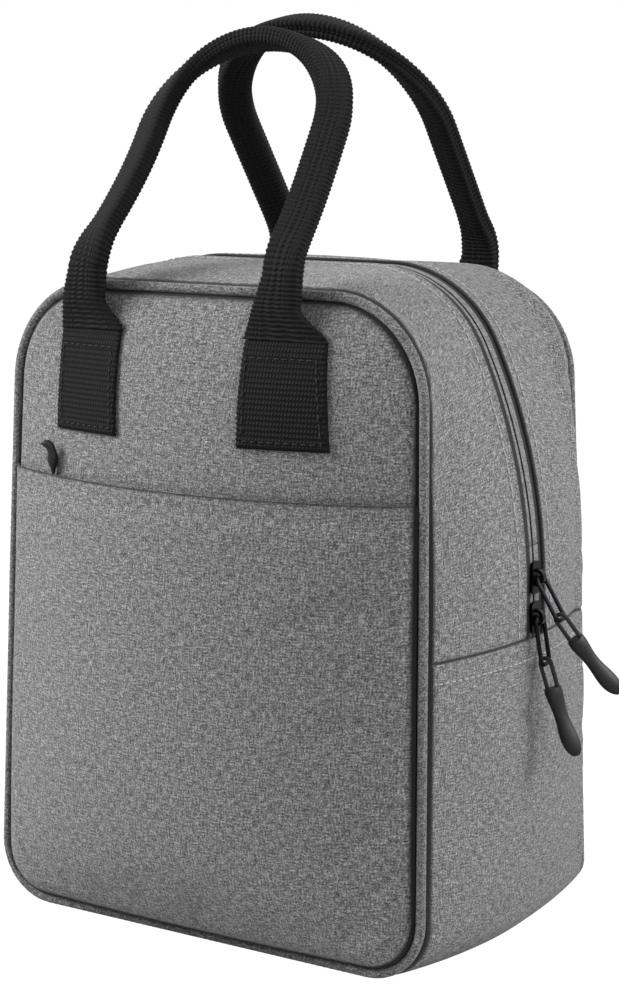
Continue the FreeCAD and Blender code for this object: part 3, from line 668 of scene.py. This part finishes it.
for side, sign in bothSides:
    inset, radius = beadLook["inset"][side], beadLook["radius"][side]
    upper = wholeOutline(inset, radius * beadLook["lift"], False, True)
    lower = wholeOutline(inset, radius * beadLook["lift"], False, False, baseCorners[sign])
    flat = np.concatenate([upper, lower[::-1][1:-1]])
    loop = pack(flat[:, 0], sign * (bag["baseDepth"] / 2 - flat[:, 1] * math.sin(faceLean)),
                flat[:, 1] * math.cos(faceLean))
    bead = tubeAlong(side + "_piping", resample(loop, beadLook["stepMm"], True), radius, beadLook["sides"],
                     True, beadLook["pucker"], beadLook["puckerMm"])
    dress(bead, pipingCloth)
    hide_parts(side + "_piping_lower", side + "_piping_upper")
    follow(bead)
print("piping made")

# lining: coated film on the inside of the foam, which it hides
liningLook = {"thick": 0.4, "inset": 5.6, "gap": 0.3, "tapeEdge": 13.2, "rise": 3.0, "riseReach": 7.0,
              "rows": 60, "columns": 50, "bandColumns": 20, "floorColumns": 36}


def makeLiningPanel(name, sign):
    inset = liningLook["inset"]
    edge = [halfOutline(inset, inset, False, upper, baseCorners[sign]) for upper in (True, False)]
    x, z = panelPoints(edge, liningLook["rows"], liningLook["columns"])
    points = pack(x, sign * (faceDepth(x, z) - bag["liningDepth"] + bag["cloth"]), z)
    return makeCloth(meshFrom(name, points, pack(x, z)), liningLook["thick"], foilLining)


def makeLiningGusset(name, upper, nearY, farY, columns):
    points = gussetPoints(upper, bag["liningDepth"] + liningLook["gap"], nearY, farY, columns)
    if upper:      # the film rises to the tape
        edge = gussetPoints(upper, bag["liningDepth"] - liningLook["rise"], nearY, farY, columns)
        near = np.clip(1 - np.abs(points[..., 1] - farY) / liningLook["riseReach"], 0, 1)[..., None] ** 2
        points = points * (1 - near) + edge * near
    return makeCloth(meshFrom(name, points), liningLook["thick"], foilLining)


for side, sign in bothSides:
    inner = makeLiningPanel(side + "_lining", sign)
    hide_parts(*[f"{side}_panel_{half}_{layer}" for half in ("lower", "upper")
                         for layer in ("foam", "lining")])
    follow(inner)
    band = makeLiningGusset(side + "_gusset_film", True, sign * pipedEdge, sign * liningLook["tapeEdge"],
                            liningLook["bandColumns"])
    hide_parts(side + "_gusset_upper_foam", side + "_gusset_upper_lining")
    follow(band)
floorFilm = makeLiningGusset("lower_gusset_film", False, -pipedEdge, pipedEdge, liningLook["floorColumns"])
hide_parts("lower_gusset_foam", "lower_gusset_lining")
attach(floorFilm, "base")
print("lining made")

# zip: two woven tapes with a nylon coil sewn to each, the closed ends left with the base
zipLook = {"tapeOut": 0.95, "tapeThick": 0.65, "gap": 0.5, "tapeEdge": 12.6, "tapeColumns": 30, "tapeRows": 150,
           "endRows": 16, "partHeight": 165.0, "partGap": 0.3, "turnMm": 1.45, "startMm": 0.8, "wire": 0.3,
           "coilOut": 1.75, "coilIn": 3.25, "coilReach": 2.7, "coilCross": -0.2, "slant": 0.12,
           "shade": {-1: 2.2, 1: 4.2}, "shadeSoft": 0.8, "edgeShade": 0.5}


# rows between two places, each a height and a hand
def sliceRows(points, first, last, count):
    return pickRows(points, np.linspace(rowAt(points, *first), rowAt(points, *last), count + 1))


def tapeBetween(name, sign, first, last, count):
    look = zipLook
    grid = gussetPoints(True, look["tapeOut"], sign * look["tapeEdge"], sign * look["gap"], look["tapeColumns"])
    points = sliceRows(grid, first, last, count)
    # painted shade: the tape darkened where it runs under the hems and along the middle where the tapes meet,
    # standing in for the shadow gaps beside the hems and between the tapes
    fromMiddle = np.abs(points[..., 1])
    underHemShade = easeOff(look["shade"][sign] + look["shadeSoft"] - fromMiddle, look["shadeSoft"])
    paintedShade = np.maximum(underHemShade, easeOff(fromMiddle - look["gap"], look["edgeShade"]))
    return makeCloth(meshFrom(name, points, None, paintedShade), look["tapeThick"], zipCloth)


def oneTurn(sides=7, wireSides=4):
    wire = zipLook["wire"]
    angle = np.linspace(0, 2 * math.pi, sides, endpoint=False)
    around = np.linspace(0, 2 * math.pi, wireSides, endpoint=False)
    wide = (zipLook["coilReach"] - zipLook["coilCross"]) / 2 - wire
    high = (zipLook["coilIn"] - zipLook["coilOut"]) / 2 - wire
    across, inward = np.cos(angle)[:, None], np.sin(angle)[:, None]
    ringAcross = across * (wide + wire * np.cos(around)[None])
    ringInward = inward * (high + wire * np.cos(around)[None])
    ringAlong = wire * np.sin(around)[None] + zipLook["slant"] * across
    points = pack(ringAcross, ringInward, ringAlong).reshape(-1, 3)
    faces = []
    for i in range(sides):
        for j in range(wireSides):
            here, ahead, beside = i * wireSides, (i + 1) % sides * wireSides, (j + 1) % wireSides
            faces.append((here + j, here + beside, ahead + beside, ahead + j))
    return points, np.array(faces)


def repeatShape(name, shape, faces, origins, axes, material):
    moved = np.einsum("pk,nkc->npc", shape, axes) + origins[:, None]
    offsets = np.arange(len(origins))[:, None, None] * len(shape)
    mesh = bpy.data.meshes.new(name)
    mesh.from_pydata((moved.reshape(-1, 3) * mm).tolist(), [], (faces[None] + offsets).reshape(-1, 4).tolist())
    piece = addToScene(name, mesh)
    cleanMesh(piece)
    dress(piece, material)
    return piece


def coilAlong(name, sign, first, last):
    middle = (zipLook["coilReach"] + zipLook["coilCross"]) / 2
    centre = (zipLook["coilOut"] + zipLook["coilIn"]) / 2
    line, outer = [gussetPoints(True, inset, sign * middle, sign * (middle + 0.1), 1)
                   for inset in (centre, centre - 0.5)]
    rows = np.linspace(rowAt(line, *first), rowAt(line, *last), 601)
    track, lift = pickRows(line, rows)[:, 0], pickRows(outer, rows)[:, 0]
    length = lengthAlong(track)
    start = zipLook["startMm"] + (0 if sign < 0 else zipLook["turnMm"] / 2)
    at = np.arange(start, length[-1] - zipLook["startMm"], zipLook["turnMm"])
    place = placesAt(at, length, track)
    inward = unit(place - placesAt(at, length, lift))
    across = np.tile([0.0, float(sign), 0.0], (len(at), 1))
    axes = np.stack([across, inward, np.cross(across, inward)], 1)
    return repeatShape(name, *oneTurn(), place, axes, coilNylon)


for side, sign in bothSides:
    top = zipLook["partHeight"] + zipLook["partGap"]
    tape = tapeBetween(side + "_zip_tape", sign, (top, 1), (top, -1), zipLook["tapeRows"])
    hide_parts("zip_tape_" + side)
    follow(tape)
    coil = coilAlong(side + "_zip_coil", sign, (top, 1), (top, -1))
    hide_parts("zip_coil_" + side)
    follow(coil)
for name, hand in bothHands:
    ends = [(bag["fold"], hand), (zipLook["partHeight"], hand)]
    for side, sign in bothSides:
        tape = tapeBetween(f"zip_end_{name}_{side}", sign, *ends, zipLook["endRows"])
        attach(tape, "base")
        coil = coilAlong(f"zip_end_coil_{name}_{side}", sign, *ends[::hand])
        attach(coil, "base")
        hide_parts("zip_end_" + name)
print("zip made")

# webbing handles: flat sewn ends, gathered and folded in two for the grip
handleLook = {"hingeY": 74.897, "hingeZ": 250.0, "end": 47.5, "inner": 31.5, "stand": 0.3, "thick": 2.4,
              "gripWidth": 16.0, "gripThick": 9.0, "gather": 25.0, "bend": 22.0, "meet": 4.0, "sides": 44,
              "aroundMm": 66.0, "stepMm": 0.5, "pickMm": 2.0, "pickDepth": 0.22, "groove": 0.9, "grooveMm": 0.9,
              "legWidth": 14.6, "legThick": 8.2, "slimMm": 20.0, "legTwist": 21.0, "topTwist": 66.0,
              "topRise": 1.4, "tuckFrom": 0.22, "lagFrom": 0.3, "lagReach": 0.5, "rightPace": 1.9}
handleSides = {
    "front": {"sign": -1, "span": 91.0, "shift": -9.5, "lean": 38.8, "sag": 6.0, "tuck": 5.0, "lag": 3.5,
              "roots": {-1: (-68.7, -35.7), 1: (24.0, 60.5)},
              "feet": {-1: ((-65.8, -30.3), (-68.7, -35.7)), 1: ((28.0, 66.0), (24.5, 60.5))}},
    "back": {"sign": 1, "span": 100.0, "shift": -3.0, "lean": 36.8, "sag": 0.0, "tuck": 0.0, "lag": 0.0,
             "roots": {-1: (-65.5, -29.5), 1: (29.5, 65.5)},
             "feet": {-1: ((-65.5, -29.5), (-65.5, -29.5)), 1: ((29.5, 65.5), (29.5, 65.5))}}}


# columns: x, y, z of the middle, lean, how far gathered, and the half that it belongs to
def handleLine(facts):
    look = handleLook
    lean, half, shift = math.radians(facts["lean"]), facts["span"] / 2, facts["shift"]
    footZ = look["hingeZ"] + look["gather"]
    share = np.linspace(0, 1, 50)
    ease = smoothStep(share)
    angle = np.linspace(0, lean, 30)
    bentY, bentZ = look["bend"] * (1 - math.cos(lean)), look["bend"] * math.sin(lean)
    reach = look["hingeY"] - look["meet"] - look["gripThick"] / 2 - bentY
    up = np.linspace(0, reach / math.sin(lean) - half, 50)
    legs = []
    for hand in (-1, 1):
        legX = shift + hand * half
        gather = pack(hand * look["end"] * (1 - ease) + legX * ease, -look["hingeY"],
                      look["hingeZ"] + look["gather"] * share, 0, share, hand)
        bend = pack(legX, look["bend"] * (1 - np.cos(angle)) - look["hingeY"],
                    footZ + look["bend"] * np.sin(angle), angle, 1, hand)
        leg = pack(legX, bentY - look["hingeY"] + up * math.sin(lean),
                   footZ + bentZ + up * math.cos(lean), lean, 1, hand)
        legs.append(joinRuns(gather, bend, leg))
    turnBy = np.linspace(0, math.pi, 90)
    top = legs[0][-1]
    arch = pack(shift - half * np.cos(turnBy), top[1] + half * np.sin(turnBy) * math.sin(lean),
                top[2] + half * np.sin(turnBy) * math.cos(lean), lean, 1, -np.cos(turnBy))
    line = joinRuns(legs[0], arch, legs[1][::-1])
    high = (line[:, 2] - look["hingeZ"]) / (line[:, 2].max() - look["hingeZ"])
    middle = (line[:, 4] >= 1) * (1 - line[:, 5] ** 2)
    tucked = np.sin(math.pi * np.clip((high - look["tuckFrom"]) / (1 - look["tuckFrom"]), 0, 1))
    line[:, 0] += facts["tuck"] * (1 - line[:, 5]) / 2 * tucked
    line[:, 0] += facts["lag"] * (line[:, 5] > 0) * easeOff(high - look["lagFrom"], look["lagReach"])
    line[:, 1] += facts["sag"] * np.sin(math.pi * high) + look["topRise"] * middle * math.sin(lean)
    line[:, 2] += look["topRise"] * middle * math.cos(lean)
    return line


def makeHandle(side):
    look, facts = handleLook, handleSides[side]
    line = handleLine(facts)
    length = lengthAlong(line[:, :3])
    at = np.linspace(0, length[-1], int(length[-1] / look["stepMm"]))
    line = placesAt(at, length, line)
    centre, lean, gathered, hand = line[:, :3], line[:, 3], line[:, 4], line[:, 5]
    ahead = np.gradient(centre, axis=0)
    ahead[:, 0] = np.where(gathered < 1, 0, ahead[:, 0])      # picks stay level where the strap is gathered
    ahead = unit(ahead)
    inside = unit(np.cross(ahead, pack(0, -np.cos(lean), np.sin(lean))))
    outward = np.cross(inside, ahead)
    slim = smoothStep(np.clip((centre[:, 2] - look["hingeZ"] - look["gather"]) / look["slimMm"], 0, 1))
    middle = (gathered >= 1) * (1 - hand ** 2)
    twist = np.radians(look["legTwist"] * slim + (look["topTwist"] - look["legTwist"]) * middle)[:, None]
    turned = outward * np.cos(twist) - inside * np.sin(twist)
    inside, outward = inside * np.cos(twist) + outward * np.sin(twist), turned
    fold = smoothStep(gathered)
    early = smoothStep(np.clip(gathered * look["rightPace"], 0, 1))
    legX = facts["shift"] + np.sign(hand) * facts["span"] / 2 + facts["lag"] * (hand > 0)
    rootLeft, rootRight = [np.where(hand < 0, facts["roots"][-1][k], facts["roots"][1][k]) for k in (0, 1)]
    leftX = rootLeft * (1 - gathered) + (legX - look["gripWidth"] / 2) * gathered
    rightX = rootRight * (1 - early) + (legX + look["gripWidth"] / 2) * early
    centre[:, 0] = np.where(gathered < 1, (leftX + rightX) / 2, centre[:, 0])
    ripple = look["pickDepth"] * np.sin(at / look["pickMm"] * 2 * math.pi)
    grip = look["gripWidth"] + (look["legWidth"] - look["gripWidth"]) * slim
    width = np.where(gathered < 1, rightX - leftX, grip) + 2 * ripple
    thick = look["thick"] + (look["gripThick"] - look["thick"]) * (fold + early) / 2 + 2 * ripple
    thick = thick + (look["legThick"] - look["gripThick"]) * slim
    power = (0.3 + 0.2 * fold)[:, None]
    angle = np.linspace(0, 2 * math.pi, look["sides"] + 1)
    cosine, sine = np.cos(angle), np.sin(angle)
    across = np.sign(cosine) * np.abs(cosine)[None] ** power * width[:, None] / 2
    deep = np.sign(sine) * np.abs(sine)[None] ** power * thick[:, None] / 2
    across = across + np.exp(-(deep / look["grooveMm"]) ** 2) * (cosine < 0) * fold[:, None] * look["groove"]
    x = centre[:, :1] + across * inside[:, :1]
    bow = faceDepth(look["inner"], look["hingeZ"]) + look["stand"] - faceDepth(x, look["hingeZ"])
    deep = deep - bow * (1 - gathered[:, None]) ** 2
    rings = centre[:, None] + across[..., None] * inside[:, None] + deep[..., None] * outward[:, None]
    rings[..., 1] *= -facts["sign"]
    uv = pack(*np.meshgrid(angle / (2 * math.pi) * look["aroundMm"], at))
    piece = meshFrom(side + "_handle_webbing", rings, uv)
    cleanMesh(piece, 0.00001, "VERT")
    dress(piece, blackWebbing)
    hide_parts(side + "_handle")
    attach(piece, side + "_handle")


for side in handleSides:
    makeHandle(side)
print("handles made")

# one stitch: four rings of six points, each with its place along, its width and its rise
stitchLook = {"lengthMm": 2.6, "gapMm": 0.9, "sides": 6,
              "rings": [(-0.5, 0.35, -0.6), (-0.3, 0.9, 0.1), (0.3, 0.9, 0.1), (0.5, 0.35, -0.6)]}


def stitchRow(name, path, normals, material, radius):
    size, sides = stitchLook["lengthMm"], stitchLook["sides"]
    length = lengthAlong(path)
    at = np.arange(size / 2, length[-1] - size / 2, size + stitchLook["gapMm"])
    place = placesAt(at, length, path)
    ahead = unit(placesAt(at + 0.4, length, path) - place)
    lift = unit(placesAt(at, length, normals))
    around = np.linspace(0, 2 * math.pi, sides, endpoint=False)
    shape = [(radius * wide * math.cos(a), size * along, radius * (wide * math.sin(a) + rise))
             for along, wide, rise in stitchLook["rings"] for a in around]
    faces = [(i * sides + j, i * sides + (j + 1) % sides, (i + 1) * sides + (j + 1) % sides, (i + 1) * sides + j)
             for i in range(3) for j in range(sides)]
    for ring in (0, 3 * sides):
        faces += [(ring, ring + 1, ring + 2, ring + 3), (ring, ring + 3, ring + 4, ring + 5)]
    axes = np.stack([np.cross(ahead, lift), ahead, lift], 1)
    return repeatShape(name, np.array(shape), np.array(faces), place, axes, material)


# sewn ends of the handles: webbing turned under, ribbed across, boxed with stitches
endLook = {"foot": 209.0, "head": 250.0, "stand": 3.1, "thick": 2.0, "columns": 45, "rowMm": 0.4, "ribMm": 2.0,
           "ribDepth": 0.2, "scallop": 0.15, "scallopEdge": 0.5, "roll": 1.3, "rollDepth": 1.3, "stitchIn": 3.0,
           "stitchTop": 6.5, "stitchStand": 0.12, "stitchRadius": 0.34}


def facePath(points, sign, stand, small=0.5):
    x, z = points[:, 0], points[:, 1]
    path = pack(x, sign * (faceDepth(x, z) + stand), z)
    slopeX = (faceDepth(x + small, z) - faceDepth(x - small, z)) / (2 * small)
    slopeZ = (faceDepth(x, z + small) - faceDepth(x, z - small)) / (2 * small)
    return path, pack(-slopeX, sign, -slopeZ)


def makeEnd(side, sign, hand, name):
    look = endLook
    foot, head, inset = look["foot"], look["head"], look["stitchIn"]
    (lowFoot, highFoot), (lowHead, highHead) = handleSides[side]["feet"][hand]
    rows = np.arange(foot, head + look["rowMm"] / 2, look["rowMm"])
    across, z = np.meshgrid(np.linspace(0, 1, look["columns"]), rows)
    up = (z - foot) / (head - foot)
    low, high = lowFoot + (lowHead - lowFoot) * up, highFoot + (highHead - highFoot) * up
    x = low + (high - low) * across
    edge = np.minimum(np.minimum(x - low, high - x), z - foot)
    roll = np.clip(1 - edge / look["roll"], 0, 1) ** 2 * look["rollDepth"]
    rib = np.sin(z / look["ribMm"] * 2 * math.pi)
    depth = faceDepth(x, z) + look["stand"] + look["ribDepth"] * rib - roll
    scallop = look["scallop"] * rib * np.sign(x - (low + high) / 2) * (edge < look["scallopEdge"])
    points = pack(x + scallop, sign * depth, z)
    sheet = meshFrom(f"{side}_handle_{name}_patch", points, pack(x, z))
    piece = makeCloth(sheet, look["thick"], blackWebbing)
    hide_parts(f"{side}_handle_{name}_end")
    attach(piece, side + "_flap")
    start, top = (lowFoot + inset, foot + inset), head - look["stitchTop"]
    box = np.array([start, (highFoot - inset, foot + inset), (highHead - inset, top),
                    (lowHead + inset, top), start])
    path, normals = facePath(resample(box, 0.5), sign, look["stand"] + look["stitchStand"])
    row = stitchRow(f"{side}_handle_{name}_stitches", path, normals, blackThread, look["stitchRadius"])
    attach(row, side + "_flap")


for side, sign in bothSides:
    for name, hand in bothHands[::-1]:
        makeEnd(side, sign, hand, name)
print("handle ends made")

# rows of stitches beside the zip, and below the side seams
seamLook = {"besideZip": 13.6, "zipFoot": 130.0, "belowSeam": 8.0, "columns": 60, "stand": 0.25, "radius": 0.4}


def seamRow(name, path, inner):
    lift = path - inner
    return stitchRow(name, path + lift * seamLook["stand"], lift, greyThread, seamLook["radius"])


for side, sign in bothSides:
    y = sign * seamLook["besideZip"]
    outer, inner = [gussetPoints(True, inset, y, y + 0.1, 1) for inset in (0.0, 1.0)]
    rows = np.linspace(*[rowAt(outer, seamLook["zipFoot"], hand) for hand in (1, -1)], 401)
    row = seamRow(side + "_zip_stitches", pickRows(outer, rows)[:, 0], pickRows(inner, rows)[:, 0])
    follow(row)
for name, hand in bothHands:
    grids = [gussetPoints(False, inset, -pipedEdge, pipedEdge, seamLook["columns"]) for inset in (0.0, 1.0)]
    share = seamLook["belowSeam"] / (bag["fold"] - bag["baseCorner"]) * sideRows
    place = np.array([share if hand > 0 else len(grids[0]) - 1 - share])
    row = seamRow(name + "_seam_stitches", *[pickRows(grid, place)[0][2:-2] for grid in grids])
    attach(row, "base")
print("stitches made")

# cords of the three pulls: braid round a core, two of them doubled over the bar of the link
cordLook = {"radius": 0.873, "loop": 2.4, "foot": -10.6, "stepMm": 0.3, "sides": 10, "ripple": 0.05,
            "braidMm": 1.5}
pullSeats = {"upper": {"pivot": (126.208235, 0, 136.422746), "swing": 28.8687, "slant": 22.0},
             "lower": {"pivot": (119.599315, 0, 117.288653), "swing": 17.0, "slant": 3.0}}
pocketCord = {"x": -67.0, "foot": 185.5, "head": 190.2, "stand": 2.35, "radius": 0.6, "points": 16}


def makeBraid(name, body, path, radius):
    piece = tubeAlong(name + "_pull_braid", path, radius, cordLook["sides"], False, cordLook["ripple"],
                      cordLook["braidMm"])
    dress(piece, braidedCord)
    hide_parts(name + "_pull_cord")
    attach(piece, body)


def loopPath(seat):
    loop, foot = cordLook["loop"], cordLook["foot"]
    arc = np.linspace(math.pi, 0, 24)
    bow = pack(loop * np.cos(arc), 0, loop * np.sin(arc))
    path = resample(np.concatenate([[(-loop, 0, foot)], bow, [(loop, 0, foot)]]), cordLook["stepMm"])
    swing, slant = math.radians(-seat["swing"]), math.radians(seat["slant"])
    aboutX = [[1, 0, 0], [0, math.cos(slant), -math.sin(slant)], [0, math.sin(slant), math.cos(slant)]]
    aboutY = [[math.cos(swing), 0, math.sin(swing)], [0, 1, 0], [-math.sin(swing), 0, math.cos(swing)]]
    return path @ (np.array(aboutY) @ np.array(aboutX)).T + np.array(seat["pivot"])


for name, seat in pullSeats.items():
    makeBraid(name, name + "_pull", loopPath(seat), cordLook["radius"])
cordLine = run((pocketCord["x"], pocketCord["foot"]), (pocketCord["x"], pocketCord["head"]),
               pocketCord["points"] - 1)
makeBraid("pocket", "pocket_slider", facePath(cordLine, -1, pocketCord["stand"])[0], pocketCord["radius"])

# hidden zip tape behind the pocket's edge
pocketTapeLook = {"foot": 174.0, "head": 188.0, "stand": 1.4, "thick": 0.5, "sideGap": 6.0, "columns": 61,
                  "rows": 9}


def makePocketTape():
    look = pocketTapeLook
    rows = np.linspace(look["foot"], look["head"], look["rows"])
    u, z = np.meshgrid(np.linspace(-1, 1, look["columns"]), rows)
    x = u * (halfWidth(z) - panelInset - look["sideGap"])
    points = pack(x, -(faceDepth(x, z) + look["stand"]), z)
    piece = makeCloth(meshFrom("pocket_tape", points, pack(x, z)), look["thick"], zipTapeCloth)
    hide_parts("pocket_zip_tape")
    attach(piece, "front_flap")


makePocketTape()
print("cords and pocket tape made")

# camera where the photograph was taken from, and a plain studio
view = {"azimuth": 32.5, "elevation": 9.9, "distance": 980.3, "target": (5.7, 1.2, 173.6), "lens": 82.8,
        "sensor": 36.0, "clip": 0.01}


def makeCamera():
    az, el = math.radians(view["azimuth"]), math.radians(view["elevation"])
    back = Vector((math.sin(az) * math.cos(el), -math.cos(az) * math.cos(el), math.sin(el)))
    data = bpy.data.cameras.new("camera")
    data.lens = view["lens"]
    data.sensor_width = view["sensor"]
    data.clip_start = view["clip"]
    camera = addToScene("camera", data)
    camera.location = (Vector(view["target"]) + back * view["distance"]) * mm
    camera.rotation_euler = back.to_track_quat("Z", "Y").to_euler()
    bpy.context.scene.camera = camera


studio = {"floor": "#c8c8c8", "floorSize": 12, "glow": 1.25, "glowShare": 0.8, "world": 0.06, "aim": (0, 0, 0.16),
          "lamps": {"keyLight": ((-1.35, -0.85, 1.2), 1.0, 34.0), "sideLight": ((1.35, 0.6, 1.15), 0.9, 19.0),
                    "rightLight": ((1.3, -0.7, 0.9), 0.9, 5.0), "topLight": ((0.0, 0.2, 1.6), 1.2, 2.0)}}


def addLamp(name, place, size, power):
    data = bpy.data.lights.new(name, "AREA")
    data.shape = "DISK"
    data.size = size
    data.energy = power
    lamp = addToScene(name, data)
    lamp.location = place
    lamp.rotation_euler = (Vector(place) - Vector(studio["aim"])).to_track_quat("Z", "Y").to_euler()


# the world is white to the camera and to reflections, and dim to the rest
def makeWorld():
    world = bpy.data.worlds.new("studio")
    bpy.context.scene.world = world
    world.use_nodes = True
    tree = world.node_tree
    background = tree.nodes["Background"]
    rays = addNode(tree, "LightPath").outputs
    seen = mathNode(tree, "MAXIMUM", rays["Is Camera Ray"], rays["Is Glossy Ray"])
    seen = mathNode(tree, "MAXIMUM", seen, rays["Is Transmission Ray"])
    strength = mathNode(tree, "MULTIPLY_ADD", seen, 1 - studio["world"], studio["world"])
    tree.links.new(strength, background.inputs["Strength"])
    background.inputs["Color"].default_value = (1, 1, 1, 1)


def makeFloor():
    bpy.ops.object.select_all(action="DESELECT")
    bpy.ops.mesh.primitive_plane_add(size=studio["floorSize"], location=(0, 0, 0))
    floor = bpy.context.object
    floor.name = "floor"
    material, tree, shader = startMaterial("paleFloor")
    shader.inputs["Base Color"].default_value = toLinear(studio["floor"])
    shader.inputs["Roughness"].default_value = 0.9
    glow = addNode(tree, "Emission", {"Color": (1, 1, 1, 1), "Strength": studio["glow"]})
    rays = addNode(tree, "LightPath").outputs
    share = mathNode(tree, "MULTIPLY", rays["Is Camera Ray"], studio["glowShare"])
    mixed = addNode(tree, "MixShader", {0: share, 1: shader.outputs[0], 2: glow.outputs[0]})
    tree.links.new(mixed.outputs[0], tree.nodes["Material Output"].inputs["Surface"])
    dress(floor, material)


makeCamera()
bpy.context.scene.view_settings.view_transform = "Standard"
makeWorld()
makeFloor()
for name, lamp in studio["lamps"].items():
    addLamp(name, *lamp)
print("camera and light set")

metalNodes = ["upper_slider", "lower_slider", "upper_link", "lower_link", "pocket_slider", "zip_stops"]
rubberNodes = ["upper_pull_grip", "lower_pull_grip", "pocket_pull"]
for names, material in ((metalNodes, gunmetal), (rubberNodes, softRubber)):
    for name in names:
        dress(nodes[name], material)
print("finishes given")
